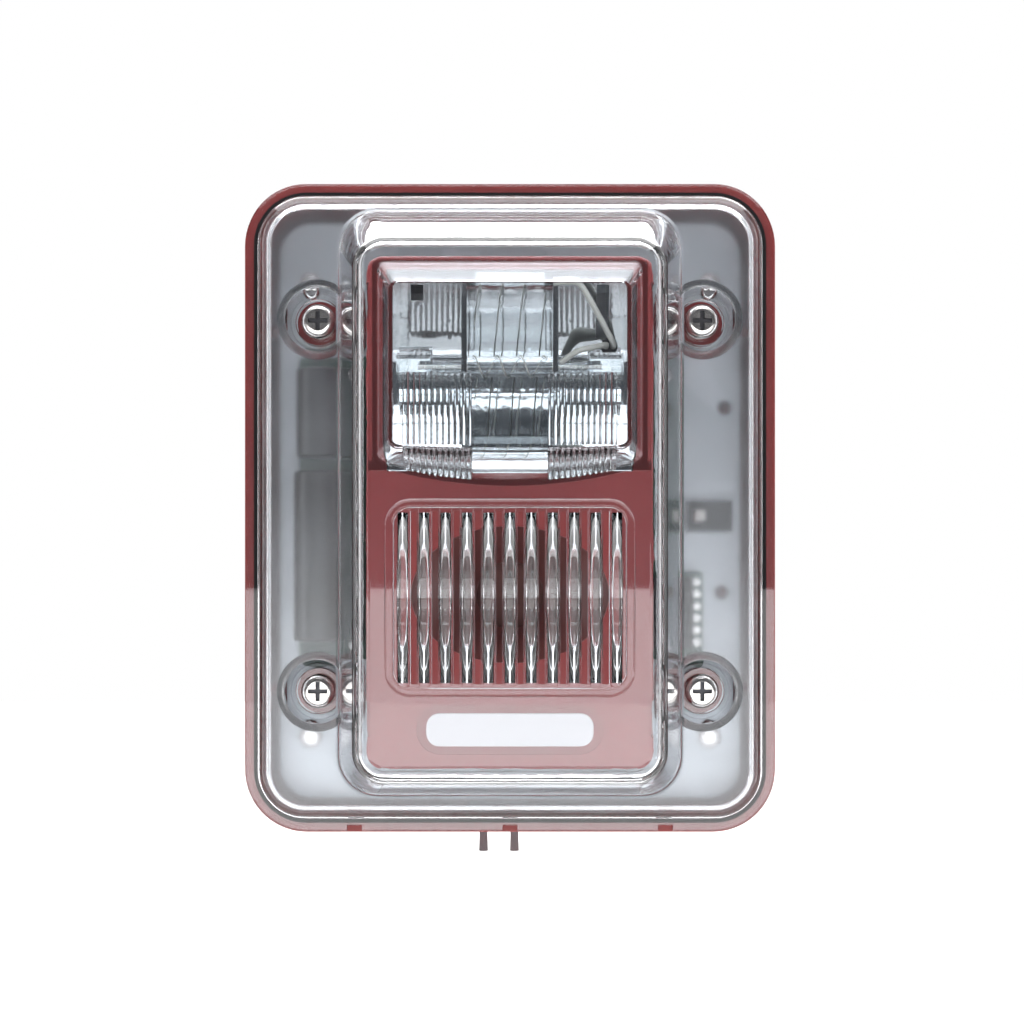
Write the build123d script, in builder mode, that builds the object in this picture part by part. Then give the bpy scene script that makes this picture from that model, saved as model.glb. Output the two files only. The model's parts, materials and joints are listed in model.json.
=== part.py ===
from build123d import *
from math import atan, degrees
import os

os.makedirs("parts", exist_ok=True)

# Weatherproof wall horn strobe. Millimetres. +X right, +Z up, the front faces -Y.
# The origin is the centre of the wall face, and "depth" is the distance from the wall.

# ---------------------------------------------------------------- driving dimensions

# Back box
box_width = 142.9
box_height = 174.6
box_depth = 42.0
box_corner = 16.7
box_draft = 2.0
rim_band = 6.0
rim_wall = 4.8
floor_thick = 3.0
cable_entry_radius = 11.1
wall_hole_radius = 2.6
wall_hole_spacing_x = 82.6
wall_hole_spacing_z = 139.7
gang_hole_radius = 2.0
gang_hole_spacing = 83.3
pad_radius = 5.4
pad_height = 1.5

# Rim gasket
gasket_inset = 2.6
gasket_width = 1.2
groove_depth = 1.4
gasket_stand = 0.4

# Clear cover
cover_wall = 2.5
lip_inset = 0.6
lip_thick = 2.4
shoulder_inset = 3.6
shoulder_slope = 0.8
shoulder_fillet = 3.8
flange_rise = 7.0
dome_rise = 26.0
dome_side_margin = 25.9
dome_top_margin = 8.4
dome_bottom_margin = 10.5
dome_side_slope = 6.1
dome_top_slope = 12.4
dome_bottom_slope = 5.6
dome_corner = 10.4
dome_corner_slope = 2.6
dome_fillet = 5.0
dome_root_fillet = 1.0
notch_width = 4.0
notch_depth = 1.5
notch_pitch = 41.7

# Cover screws and their wells
screw_margin_x = 19.95
screw_margin_top = 37.3
screw_margin_bottom = 38.0
well_mouth_radius = 8.6
well_seat_radius = 6.1
well_seat_drop = 0.9
well_wall = 2.2
cover_screw_radius = 2.35
cover_screw_length = 13.5
cover_head_radius = 4.6
cover_head_height = 3.3
seal_thick = 0.8
thread_clearance = 0.06
insert_radius = 3.3
insert_length = 9.0
boss_radius = 6.0
boss_gap = 1.3
boss_rib = 2.4

# Grille window in the dome
grille_centre_rise = 44.8
grille_width = 57.2
grille_height = 44.0
grille_corner = 4.2
grille_slots = 10
grille_pitch = 5.43
grille_slot_width = 1.5
grille_rib_proud = 0.4
bead_gap = 1.6
bead_width = 2.4
bead_height = 1.0

# Red faceplate
face_setback = 13.0
face_skirt_depth = 29.0
face_wall = 2.2
face_side_gap = 2.1
face_top_gap = 5.9
face_bottom_gap = 2.3
face_corner = 5.0
face_skirt_draft = 2.6
face_edge_fillet = 1.2
face_post_radius = 3.5
face_post_low_x = 28.0
face_post_low_rise = 7.1
face_post_mid_x = 33.0
face_post_mid_z = 1.8
face_post_top_inset = 2.7
face_post_top_drop = 7.3
face_screw_radius = 1.45
snap_slot_height = 9.6
snap_slot_depth = 1.2
snap_slot_top_drop = 11.6
snap_slot_bottom_rise = 13.4
snap_slot_reach = 13.0

# Label
label_width = 43.4
label_height = 8.6
label_thick = 0.8
label_recess_margin = 2.1
label_recess_depth = 0.6
label_centre_rise = 10.6

# Horn
horn_half_width = 25.8
horn_half_height = 17.8
horn_wall = 1.3
horn_throat_radius = 9.0
horn_z_offset = 0.9
horn_bell_depth = 16.0
horn_body_depth = 8.0
horn_flange = 2.4
disc_radius = 17.4
disc_thick = 0.5
disc_seat_depth = 3.0
retainer_inner_radius = 14.6
fit_clearance = 0.1

# Strobe window, reflector and lens
reflector_side_margin = 6.3
reflector_top_margin = 4.5
reflector_height = 51.0
reflector_depth = 16.4
reflector_setback = 0.6
reflector_gap = 0.3
trough_half_width = 11.2
trough_cheek = 1.4
trough_depth = 14.2
wing_depth = 10.4
wing_end_wall = 1.2
trough_floor_half_width = 9.8
trough_floor_top = 18.0
trough_floor_rear = 7.4
wing_rib_count = 9
wing_rib_pitch = 0.78
wing_rib_width = 0.42
wing_rib_height = 0.3
wing_rib_start = 16.0
wing_rib_low = 12.6
wing_port_x = 24.2
wing_port_width = 3.3
wing_port_drop = 4.6
wing_port_left_height = 3.7
wing_port_right_height = 12.8
lens_side_margin = 2.5
lens_top_margin = 0.5
lens_side_bottom = 10.4
lens_mid_bottom = 5.0
lens_flange_thick = 1.2
lens_flange_margin = 0.3
lens_wall = 2.0
lens_rise = 8.8
lens_side_slope = 4.4
lens_top_slope = 7.2
lens_mid_slope = 8.1
lens_side_bottom_slope = 3.4
lens_corner = 2.6
lens_inner_corner = 1.4
lens_fillet = 0.8
lens_tab_x = 34.4
lens_tab_width = 5.4
lens_tab_height = 2.4
step_top = 30.9
step_rise = 0.4
flute_count = 12
flute_pitch = 1.46
flute_inner = 9.8
flute_bottom = 14.6
flute_top = 33.2
prism_count = 16
prism_pitch = 1.44
prism_inset = 1.0
prism_width = 2.6
prism_height = 0.8
prism_rise = 0.7

# Flash tube
tube_drop = 23.7
tube_setback = 4.4
tube_radius = 2.65
tube_bore = 1.95
tube_half_length = 21.6
tube_end_thick = 1.4
electrode_radius = 0.5
electrode_reach = 24.0
electrode_length = 13.0
cap_radius = 3.7
cap_length = 8.8
cap_grip = 0.9
wire_radius = 0.18
wire_pitch = 6.1
wire_half_span = 9.6
lead_radius = 0.75
grommet_inset = 5.4
grommet_rise = 5.8
grommet_radius = 2.2
grommet_lip = 0.9
grommet_hole_offset = 0.98

# Mounting plate and circuit board
plate_setback = 18.0
plate_thick = 1.2
plate_gap = 3.0
plate_screw_margin_x = 8.5
plate_screw_margin_z = 16.9
plate_opening_width = 54.0
plate_opening_height = 74.0
standoff_radius = 4.5
small_head_radius = 3.1
small_head_height = 2.2
small_screw_radius = 1.45
vent_radius = 2.0
vent_top_inset = 4.2
vent_top_z = 28.5
vent_low_inset = 5.0
vent_low_z = -22.6
board_gap = 2.8
board_thick = 1.6
board_left_gap = 8.65
board_edge_margin = 5.0
board_top = 42.0
board_below_horn = 17.5
board_tab_reach = 8.0
board_tab_height = 24.0
board_screw_margin = 8.4
board_screw_z = 37.0

# Weep insert
weep_setback = 12.0
weep_x = -3.05
weep_pitch = 8.5
weep_radius = 1.12
weep_bore = 0.5
weep_reach = 6.4
weep_flare = 0.14

# Parts on the board
main_capacitor_radius = 7.0
main_capacitor_low = -36.0
main_capacitor_length = 46.0
aux_capacitor_radius = 6.4
aux_capacitor_low = 14.0
aux_capacitor_length = 24.0
capacitor_overhang = 0.6
sleeve_fillet = 0.8
inverter_x = -18.0
inverter_z = 20.0
inverter_width = 16.0
inverter_height = 14.0
inverter_depth = 12.0
inverter_leg = 2.2
inverter_yoke = 1.8
inverter_limb = 4.4
coil_x = 16.0
coil_z = 34.0
coil_size = 9.0
coil_depth = 11.0
chip_x = 6.0
chip_z = 14.0
chip_width = 7.5
chip_height = 5.0
connector_overlap = 2.2
connector_reach = 4.7
connector_rise = 0.9
pin_count = 6
pin_pitch = 3.3

# Terminal block, on the rear of the board
poles = 4
pole_pitch = 6.35
block_z = -30.0
block_height = 12.0
block_depth = 12.5
terminal_screw_radius = 1.0
terminal_head_radius = 2.1
cage_width = 4.6
cage_depth = 5.6
cage_height = 5.0
cage_wall = 1.2
cage_travel = 1.5

# Switches
selector_inset = 11.85
selector_z = -1.8
selector_width = 12.3
selector_height = 8.5
selector_rise = 6.8
selector_travel = 6.0
selector_knob = 3.0
dip_x = 20.0
dip_z = 24.0
dip_pitch = 2.54
dip_travel = 2.2
dip_lever = 1.2


# ---------------------------------------------------------------- shared geometry

flange_front = box_depth + flange_rise
dome_front = flange_front + dome_rise


def front(depth):
    """Sketch plane facing the viewer: local x is +X, local y is +Z, out is -Y."""
    return Plane(origin=(0, -depth, 0), x_dir=(1, 0, 0), z_dir=(0, -1, 0))


def across(x):
    """Sketch plane across the object: local x is +Y, local y is +Z, out is +X."""
    return Plane(origin=(x, 0, 0), x_dir=(0, 1, 0), z_dir=(1, 0, 0))


def box_outline(depth, inset):
    """Rounded outline of the box, brought in by inset on every side."""
    with BuildSketch(front(depth)) as outline:
        RectangleRounded(box_width - 2 * inset, box_height - 2 * inset, box_corner - inset)
    return outline.sketch


def rim_ring(depth):
    """Ring that the gasket and its groove share."""
    with BuildSketch(front(depth)) as ring:
        RectangleRounded(
            box_width - 2 * gasket_inset, box_height - 2 * gasket_inset, box_corner - gasket_inset
        )
        RectangleRounded(
            box_width - 2 * (gasket_inset + gasket_width),
            box_height - 2 * (gasket_inset + gasket_width),
            box_corner - gasket_inset - gasket_width,
            mode=Mode.SUBTRACT,
        )
    return ring.sketch


def dome_edges(depth, inset):
    """Half width, top, bottom and corner radius of the dome at a depth."""
    rise = (depth - flange_front) / (dome_front - flange_front)
    half_width = box_width / 2 - dome_side_margin - dome_side_slope * rise - inset
    top = box_height / 2 - dome_top_margin - dome_top_slope * rise - inset
    bottom = -box_height / 2 + dome_bottom_margin + dome_bottom_slope * rise + inset
    corner = dome_corner - dome_corner_slope * rise - inset
    return half_width, top, bottom, corner


def rounded_outline(depth, half_width, top, bottom, corner):
    with BuildSketch(front(depth)) as outline:
        with Locations((0, (top + bottom) / 2)):
            RectangleRounded(2 * half_width, top - bottom, corner)
    return outline.sketch


def dome_outline(depth, inset):
    return rounded_outline(depth, *dome_edges(depth, inset))


def pan_screws(points, seat, head_radius, head_height, shank_radius, shank_length, facing=1):
    """Cross-recess pan-head screws; facing 1 puts the heads to the front, -1 to the wall."""
    with BuildPart() as screws:
        with BuildSketch(front(seat)):
            with Locations(*points):
                Circle(head_radius)
        extrude(amount=facing * head_height)
        crowns = screws.edges().filter_by(GeomType.CIRCLE).group_by(Axis.Y)[0 if facing > 0 else -1]
        fillet(crowns, radius=0.6 * head_height)
        with BuildSketch(front(seat)):
            with Locations(*points):
                Circle(shank_radius)
        extrude(amount=-facing * shank_length)
        with BuildSketch(front(seat + facing * head_height)):
            with Locations(*points):
                Rectangle(1.15 * head_radius, 0.26 * head_radius)
                Rectangle(0.26 * head_radius, 1.15 * head_radius)
        extrude(amount=-facing * 0.6 * head_height, mode=Mode.SUBTRACT)
    return screws.part


def round_lead(points, radii, radius):
    """Round lead along straight runs joined by tangent arcs."""
    with BuildPart() as lead:
        with BuildLine() as route:
            FilletPolyline(*points, radius=radii)
        with BuildSketch(Plane(origin=route.line @ 0, z_dir=route.line % 0)):
            Circle(radius)
        sweep(path=route.line)
    return lead.part


cover_screw_x = box_width / 2 - screw_margin_x
cover_screw_top = box_height / 2 - screw_margin_top
cover_screw_bottom = -box_height / 2 + screw_margin_bottom
cover_screw_points = [
    (side * cover_screw_x, z) for side in (-1, 1) for z in (cover_screw_bottom, cover_screw_top)
]
cover_base = box_depth + gasket_stand
well_seat = cover_base - well_seat_drop
well_floor = well_seat - well_wall
boss_top = well_floor - boss_gap
cavity_half_width = box_width / 2 - rim_wall
cavity_half_height = box_height / 2 - rim_wall
weep_depth = box_depth - weep_setback

face_front = dome_front - face_setback
face_rear = face_front - face_skirt_depth
face_half_width, face_top, face_bottom, dome_round = dome_edges(face_front, cover_wall)
face_half_width = face_half_width - face_side_gap
face_top = face_top - face_top_gap
face_bottom = face_bottom + face_bottom_gap
face_skirt_half_width = face_half_width + face_skirt_draft
face_post_points = [
    (-face_post_low_x, face_bottom + face_post_low_rise),
    (face_post_low_x, face_bottom + face_post_low_rise),
    (-face_post_mid_x, face_post_mid_z),
    (face_post_mid_x, face_post_mid_z),
    (-face_half_width + face_post_top_inset, face_top - face_post_top_drop),
    (face_half_width - face_post_top_inset, face_top - face_post_top_drop),
]
label_centre_z = face_bottom + label_centre_rise
grille_centre_z = face_bottom + grille_centre_rise
horn_z = grille_centre_z + horn_z_offset
horn_throat_depth = face_front - horn_bell_depth
horn_rear = horn_throat_depth - horn_body_depth
disc_seat = horn_rear + disc_seat_depth

reflector_half_width = face_half_width - reflector_side_margin
reflector_top = face_top - reflector_top_margin
reflector_bottom = reflector_top - reflector_height
reflector_mid = (reflector_top + reflector_bottom) / 2
reflector_front = face_front - reflector_setback
reflector_rear = reflector_front - reflector_depth
tube_z = reflector_top - tube_drop
tube_depth = reflector_front - tube_setback
grommet_x = reflector_half_width - grommet_inset
grommet_z = tube_z + grommet_rise
lens_half_width = face_half_width - lens_side_margin
lens_top = face_top - lens_top_margin
lens_front = face_front + lens_rise

plate_rear = box_depth - plate_setback
plate_front = plate_rear + plate_thick
plate_half_width = cavity_half_width - plate_gap
plate_half_height = cavity_half_height - plate_gap
plate_screw_points = [
    (side * (plate_half_width - plate_screw_margin_x), level * (plate_half_height - plate_screw_margin_z))
    for side in (-1, 1)
    for level in (-1, 1)
]
board_rear = plate_front + board_gap
board_front = board_rear + board_thick
board_screw_x = reflector_half_width + board_screw_margin
board_right = board_screw_x + board_edge_margin
board_left = -cavity_half_width + board_left_gap
board_bottom = horn_z - board_below_horn
board_tab_top = board_bottom + board_tab_height
board_screw_points = [
    (side * board_screw_x, level * board_screw_z) for side in (-1, 1) for level in (-1, 1)
]
block_rear = board_rear - block_depth
selector_x = cavity_half_width - selector_inset

# ---------------------------------------------------------------- back box and what it carries

with BuildPart() as back_box:
    loft([box_outline(0, box_draft), box_outline(box_depth - rim_band, 0)], ruled=True)
    extrude(box_outline(box_depth - rim_band, 0), amount=rim_band)
    chamfer(back_box.faces().sort_by(Axis.Y)[0].edges(), length=0.35)
    extrude(box_outline(floor_thick, rim_wall), amount=box_depth - floor_thick, mode=Mode.SUBTRACT)
    extrude(rim_ring(box_depth - groove_depth), amount=groove_depth, mode=Mode.SUBTRACT)
    with BuildSketch(front(floor_thick)):
        with Locations(*cover_screw_points):
            Circle(boss_radius)
    extrude(amount=boss_top - floor_thick)
    with BuildSketch(front(floor_thick)):
        for x, z in cover_screw_points:
            with Locations(((x + (cavity_half_width if x > 0 else -cavity_half_width)) / 2, z)):
                Rectangle(cavity_half_width - cover_screw_x + 1, boss_rib)
    extrude(amount=plate_rear - plate_gap - floor_thick)
    with BuildSketch(front(floor_thick)):
        with Locations(*plate_screw_points):
            Circle(standoff_radius)
    extrude(amount=plate_rear - floor_thick)
    with BuildSketch(front(floor_thick)):
        with GridLocations(wall_hole_spacing_x, wall_hole_spacing_z, 2, 2):
            Circle(pad_radius)
    extrude(amount=pad_height)
    with BuildSketch(front(0)):
        with GridLocations(wall_hole_spacing_x, wall_hole_spacing_z, 2, 2):
            Circle(wall_hole_radius)
        with GridLocations(0, gang_hole_spacing, 1, 2):
            Circle(gang_hole_radius)
        Circle(cable_entry_radius)
    extrude(amount=floor_thick + pad_height, mode=Mode.SUBTRACT)
    with BuildSketch(front(boss_top - insert_length)):
        with Locations(*cover_screw_points):
            Circle(insert_radius)
    extrude(amount=insert_length, mode=Mode.SUBTRACT)
    with BuildSketch(front(boss_top - insert_length - 8)):
        with Locations(*cover_screw_points):
            Circle(cover_screw_radius + 0.4)
    extrude(amount=8, mode=Mode.SUBTRACT)
    with BuildSketch(front(plate_rear - 12)):
        with Locations(*plate_screw_points):
            Circle(small_screw_radius + fit_clearance)
    extrude(amount=12, mode=Mode.SUBTRACT)
    with BuildSketch(Plane.XY.offset(-box_height / 2 - 1)):
        with Locations((weep_x, -weep_depth)):
            with GridLocations(weep_pitch, 0, 2, 1):
                Circle(weep_radius + fit_clearance / 2)
    extrude(amount=rim_wall + 2, mode=Mode.SUBTRACT)
back_box.part.label = "back_box"
export_step(back_box.part, "parts/back_box.step")

with BuildPart() as rim_gasket:
    extrude(rim_ring(box_depth - groove_depth), amount=groove_depth + gasket_stand)
rim_gasket.part.label = "rim_gasket"
export_step(rim_gasket.part, "parts/rim_gasket.step")

with BuildPart() as weep_insert:
    with BuildSketch(Plane.XY.offset(-cavity_half_height)):
        with Locations((weep_x, -weep_depth)):
            RectangleRounded(2 * weep_pitch, 6.0, 1.5)
    extrude(amount=2.4)
    with BuildSketch(Plane.XY.offset(-cavity_half_height)):
        with Locations((weep_x, -weep_depth)):
            with GridLocations(weep_pitch, 0, 2, 1):
                Circle(weep_radius)
    extrude(amount=-(rim_wall + weep_reach - 4))
    spout_ends = weep_insert.faces().group_by(Axis.Z)[0]
    extrude(spout_ends, amount=4, taper=-degrees(atan(weep_flare / 4)))
    with BuildSketch(Plane.XY.offset(-cavity_half_height + 2.4)):
        with Locations((weep_x, -weep_depth)):
            with GridLocations(weep_pitch, 0, 2, 1):
                Circle(weep_bore)
    extrude(amount=-(rim_wall + weep_reach + 2.4), mode=Mode.SUBTRACT)
weep_insert.part.label = "weep_insert"
export_step(weep_insert.part, "parts/weep_insert.step")

with BuildPart() as boss_inserts:
    with BuildSketch(front(boss_top - insert_length)):
        with Locations(*cover_screw_points):
            Circle(insert_radius)
            Circle(cover_screw_radius + thread_clearance, mode=Mode.SUBTRACT)
    extrude(amount=insert_length)
boss_inserts.part.label = "boss_inserts"
export_step(boss_inserts.part, "parts/boss_inserts.step")

# ---------------------------------------------------------------- mounting plate and board

with BuildPart() as mounting_plate:
    with BuildSketch(front(plate_rear)):
        RectangleRounded(2 * plate_half_width, 2 * plate_half_height, 9.0)
        with Locations((0, -3)):
            RectangleRounded(plate_opening_width, plate_opening_height, 4.0, mode=Mode.SUBTRACT)
        with Locations(*cover_screw_points):
            Circle(boss_radius + 1.2, mode=Mode.SUBTRACT)
        with Locations(*plate_screw_points, *face_post_points, *board_screw_points):
            Circle(small_screw_radius + fit_clearance, mode=Mode.SUBTRACT)
        with Locations(
            (plate_half_width - vent_top_inset, vent_top_z), (plate_half_width - vent_low_inset, vent_low_z)
        ):
            Circle(vent_radius, mode=Mode.SUBTRACT)
    extrude(amount=plate_thick)
mounting_plate.part.label = "mounting_plate"
export_step(mounting_plate.part, "parts/mounting_plate.step")

with BuildPart() as plate_screws:
    add(
        pan_screws(
            plate_screw_points, plate_front, small_head_radius, small_head_height, small_screw_radius, 9.0
        )
    )
plate_screws.part.label = "plate_screws"
export_step(plate_screws.part, "parts/plate_screws.step")

with BuildPart() as circuit_board:
    with BuildSketch(front(board_rear)):
        with Locations(((board_left + board_right) / 2, (board_top + board_bottom) / 2)):
            RectangleRounded(board_right - board_left, board_top - board_bottom, 1.5)
        with Locations((board_right, (board_tab_top + board_bottom) / 2)):
            RectangleRounded(2 * board_tab_reach, board_tab_top - board_bottom, 1.2)
        with Locations(*board_screw_points):
            Circle(small_screw_radius + fit_clearance, mode=Mode.SUBTRACT)
        with Locations(*face_post_points[2:4]):
            Circle(face_post_radius + 0.8, mode=Mode.SUBTRACT)
    extrude(amount=board_thick)
circuit_board.part.label = "circuit_board"
export_step(circuit_board.part, "parts/circuit_board.step")

with BuildPart() as board_spacers:
    with BuildSketch(front(plate_front)):
        with Locations(*board_screw_points):
            Circle(2.8)
            Circle(small_screw_radius + fit_clearance, mode=Mode.SUBTRACT)
    extrude(amount=board_rear - plate_front)
board_spacers.part.label = "board_spacers"
export_step(board_spacers.part, "parts/board_spacers.step")

with BuildPart() as board_screws:
    add(
        pan_screws(
            board_screw_points, board_front, small_head_radius - 0.4, 1.8, small_screw_radius, 6.4
        )
    )
board_screws.part.label = "board_screws"
export_step(board_screws.part, "parts/board_screws.step")

# Two sleeved capacitors lie along the left edge of the board.
capacitor_x = board_left + main_capacitor_radius - capacitor_overhang

with BuildPart() as main_capacitor:
    with BuildSketch(Plane.XY.offset(main_capacitor_low)):
        with Locations((capacitor_x, -board_front - main_capacitor_radius)):
            Circle(main_capacitor_radius)
    extrude(amount=main_capacitor_length)
    fillet(main_capacitor.edges().filter_by(GeomType.CIRCLE), radius=sleeve_fillet)
main_capacitor.part.label = "main_capacitor"
export_step(main_capacitor.part, "parts/main_capacitor.step")

with BuildPart() as aux_capacitor:
    with BuildSketch(Plane.XY.offset(aux_capacitor_low)):
        with Locations((capacitor_x, -board_front - aux_capacitor_radius)):
            Circle(aux_capacitor_radius)
    extrude(amount=aux_capacitor_length)
    fillet(aux_capacitor.edges().filter_by(GeomType.CIRCLE), radius=sleeve_fillet)
aux_capacitor.part.label = "aux_capacitor"
export_step(aux_capacitor.part, "parts/aux_capacitor.step")

inverter_window = (inverter_width - 2 * inverter_leg - inverter_limb) / 2
inverter_window_x = (inverter_limb + inverter_window) / 2
winding_height = inverter_height - 2 * inverter_yoke - 0.2

with BuildPart() as inverter_core:
    with BuildSketch(front(board_front)):
        with Locations((inverter_x, inverter_z)):
            Rectangle(inverter_width, inverter_height)
            with GridLocations(2 * inverter_window_x, 0, 2, 1):
                Rectangle(inverter_window, inverter_height - 2 * inverter_yoke, mode=Mode.SUBTRACT)
    extrude(amount=inverter_depth)
inverter_core.part.label = "inverter_core"
export_step(inverter_core.part, "parts/inverter_core.step")

with BuildPart() as inverter_winding:
    with BuildSketch(front(board_front + 1)):
        with Locations((inverter_x, inverter_z)):
            RectangleRounded(inverter_limb + 2 * inverter_window - 0.8, winding_height - 0.2, 2.0)
            RectangleRounded(inverter_limb + 0.2, winding_height, 0.3, mode=Mode.SUBTRACT)
    extrude(amount=inverter_depth - 2)
inverter_winding.part.label = "inverter_winding"
export_step(inverter_winding.part, "parts/inverter_winding.step")

with BuildPart() as trigger_coil:
    with BuildSketch(front(board_front)):
        with Locations((coil_x, coil_z)):
            RectangleRounded(coil_size, coil_size, 1.0)
    extrude(amount=coil_depth)
trigger_coil.part.label = "trigger_coil"
export_step(trigger_coil.part, "parts/trigger_coil.step")

with BuildPart() as control_chip:
    with BuildSketch(front(board_front + 0.2)):
        with Locations((chip_x, chip_z)):
            Rectangle(chip_width, chip_height)
    extrude(amount=1.7)
    with BuildSketch(front(board_front)):
        with Locations((chip_x, chip_z)):
            with GridLocations(1.27, chip_height + 1.4, 5, 2):
                Rectangle(0.45, 1.4)
    extrude(amount=0.9)
control_chip.part.label = "control_chip"
export_step(control_chip.part, "parts/control_chip.step")

connector_left = board_right - connector_overlap
connector_right = board_right + connector_reach
connector_z = (board_tab_top + board_bottom) / 2 + connector_rise

with BuildPart() as board_connector:
    with BuildSketch(front(board_front)):
        with Locations(((connector_left + connector_right) / 2, connector_z)):
            RectangleRounded(connector_right - connector_left, pin_count * pin_pitch - 0.4, 0.6)
    extrude(amount=7.4)
    with BuildSketch(front(board_front + 2.4)):
        with Locations(((connector_left + connector_right) / 2 - 0.6, connector_z)):
            with GridLocations(0, pin_pitch, 1, pin_count):
                Rectangle(3.0, 2.2)
    extrude(amount=5, mode=Mode.SUBTRACT)
board_connector.part.label = "board_connector"
export_step(board_connector.part, "parts/board_connector.step")

with BuildPart() as connector_pins:
    with BuildSketch(front(board_front + 2)):
        with Locations((connector_right + 1, connector_z)):
            with GridLocations(0, pin_pitch, 1, pin_count):
                Rectangle(2.0, 0.8)
    extrude(amount=0.8)
    with BuildSketch(front(board_front)):
        with Locations((connector_right + 1.6, connector_z)):
            with GridLocations(0, pin_pitch, 1, pin_count):
                Rectangle(0.8, 0.8)
    extrude(amount=2.8)
    with BuildSketch(front(board_front)):
        with Locations((connector_right + 1.6, connector_z)):
            with GridLocations(0, pin_pitch, 1, pin_count):
                Circle(1.1)
    extrude(amount=0.5)
connector_pins.part.label = "connector_pins"
export_step(connector_pins.part, "parts/connector_pins.step")

# ---------------------------------------------------------------- faceplate

with BuildPart() as faceplate:
    loft(
        [
            rounded_outline(
                face_rear,
                face_skirt_half_width,
                face_top + face_skirt_draft,
                face_bottom - face_skirt_draft,
                face_corner + face_skirt_draft,
            ),
            rounded_outline(face_front, face_half_width, face_top, face_bottom, face_corner),
        ],
        ruled=True,
    )
    fillet(faceplate.faces().sort_by(Axis.Y)[0].edges(), radius=face_edge_fillet)
    loft(
        [
            rounded_outline(
                face_rear,
                face_skirt_half_width - face_wall,
                face_top + face_skirt_draft - face_wall,
                face_bottom - face_skirt_draft + face_wall,
                face_corner + face_skirt_draft - face_wall,
            ),
            rounded_outline(
                face_front - face_wall,
                face_half_width - face_wall,
                face_top - face_wall,
                face_bottom + face_wall,
                face_corner - face_wall,
            ),
        ],
        ruled=True,
        mode=Mode.SUBTRACT,
    )
    with BuildSketch(front(plate_front)):
        with Locations(*face_post_points):
            Circle(face_post_radius)
    extrude(amount=face_front - face_wall - plate_front)
    with BuildSketch(front(plate_front)):
        with Locations(*face_post_points):
            Circle(face_screw_radius + fit_clearance)
    extrude(amount=14, mode=Mode.SUBTRACT)
    with BuildSketch(front(face_front - face_wall)):
        with Locations((0, horn_z)):
            Ellipse(horn_half_width, horn_half_height)
        with Locations((0, reflector_mid)):
            Rectangle(2 * (reflector_half_width + reflector_gap), reflector_height + 2 * reflector_gap)
    extrude(amount=face_wall, mode=Mode.SUBTRACT)
    with BuildSketch(front(face_front - label_recess_depth)):
        with Locations((0, label_centre_z)):
            SlotOverall(label_width + 2 * label_recess_margin + 1, label_height + 2 * label_recess_margin)
    extrude(amount=label_recess_depth, mode=Mode.SUBTRACT)
    with BuildSketch(front(face_front - snap_slot_reach)):
        for z in (face_top - snap_slot_top_drop, face_bottom + snap_slot_bottom_rise):
            with Locations((0, z)):
                with GridLocations(2 * (face_half_width + 1), 0, 2, 1):
                    Rectangle(2 * snap_slot_depth + 2, snap_slot_height)
    extrude(amount=snap_slot_reach, mode=Mode.SUBTRACT)
faceplate.part.label = "faceplate"
export_step(faceplate.part, "parts/faceplate.step")

with BuildPart() as faceplate_screws:
    add(
        pan_screws(
            face_post_points, plate_rear, small_head_radius - 0.4, 1.9, face_screw_radius, 11.0, facing=-1
        )
    )
faceplate_screws.part.label = "faceplate_screws"
export_step(faceplate_screws.part, "parts/faceplate_screws.step")

with BuildPart() as label_plate:
    with BuildSketch(front(face_front - label_recess_depth)):
        with Locations((0, label_centre_z)):
            RectangleRounded(label_width, label_height, 0.4 * label_height)
    extrude(amount=label_thick)
    fillet(label_plate.faces().sort_by(Axis.Y)[0].edges(), radius=0.25)
label_plate.part.label = "label_plate"
export_step(label_plate.part, "parts/label_plate.step")

# ---------------------------------------------------------------- horn

with BuildPart() as horn_chamber:
    with BuildSketch(front(horn_throat_depth)) as outer_round:
        with Locations((0, horn_z)):
            Circle(disc_radius + 2)
    with BuildSketch(front(face_front - face_wall)) as outer_mouth:
        with Locations((0, horn_z)):
            Ellipse(horn_half_width + horn_wall, horn_half_height + horn_wall)
    loft()
    with BuildSketch(front(horn_rear)):
        with Locations((0, horn_z)):
            Circle(disc_radius + 2)
    extrude(amount=horn_throat_depth - horn_rear)
    with BuildSketch(front(face_front - face_wall - 1.4)):
        with Locations((0, horn_z)):
            Ellipse(horn_half_width + horn_flange, horn_half_height + horn_flange)
    extrude(amount=1.4)
    with BuildSketch(front(horn_throat_depth)):
        with Locations((0, horn_z)):
            Circle(horn_throat_radius)
    with BuildSketch(front(face_front - face_wall)):
        with Locations((0, horn_z)):
            Ellipse(horn_half_width, horn_half_height)
    loft(mode=Mode.SUBTRACT)
    with BuildSketch(front(disc_seat)):
        with Locations((0, horn_z)):
            Circle(horn_throat_radius)
    extrude(amount=horn_throat_depth - disc_seat, mode=Mode.SUBTRACT)
    with BuildSketch(front(disc_seat)):
        with Locations((0, horn_z)):
            Circle(retainer_inner_radius)
    extrude(amount=2.6, mode=Mode.SUBTRACT)
    with BuildSketch(front(horn_rear)):
        with Locations((0, horn_z)):
            Circle(disc_radius + fit_clearance)
    extrude(amount=disc_seat - horn_rear, mode=Mode.SUBTRACT)
horn_chamber.part.label = "horn_chamber"
export_step(horn_chamber.part, "parts/horn_chamber.step")

with BuildPart() as piezo_disc:
    with BuildSketch(front(disc_seat - disc_thick)):
        with Locations((0, horn_z)):
            Circle(disc_radius)
    extrude(amount=disc_thick)
piezo_disc.part.label = "piezo_disc"
export_step(piezo_disc.part, "parts/piezo_disc.step")

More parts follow.
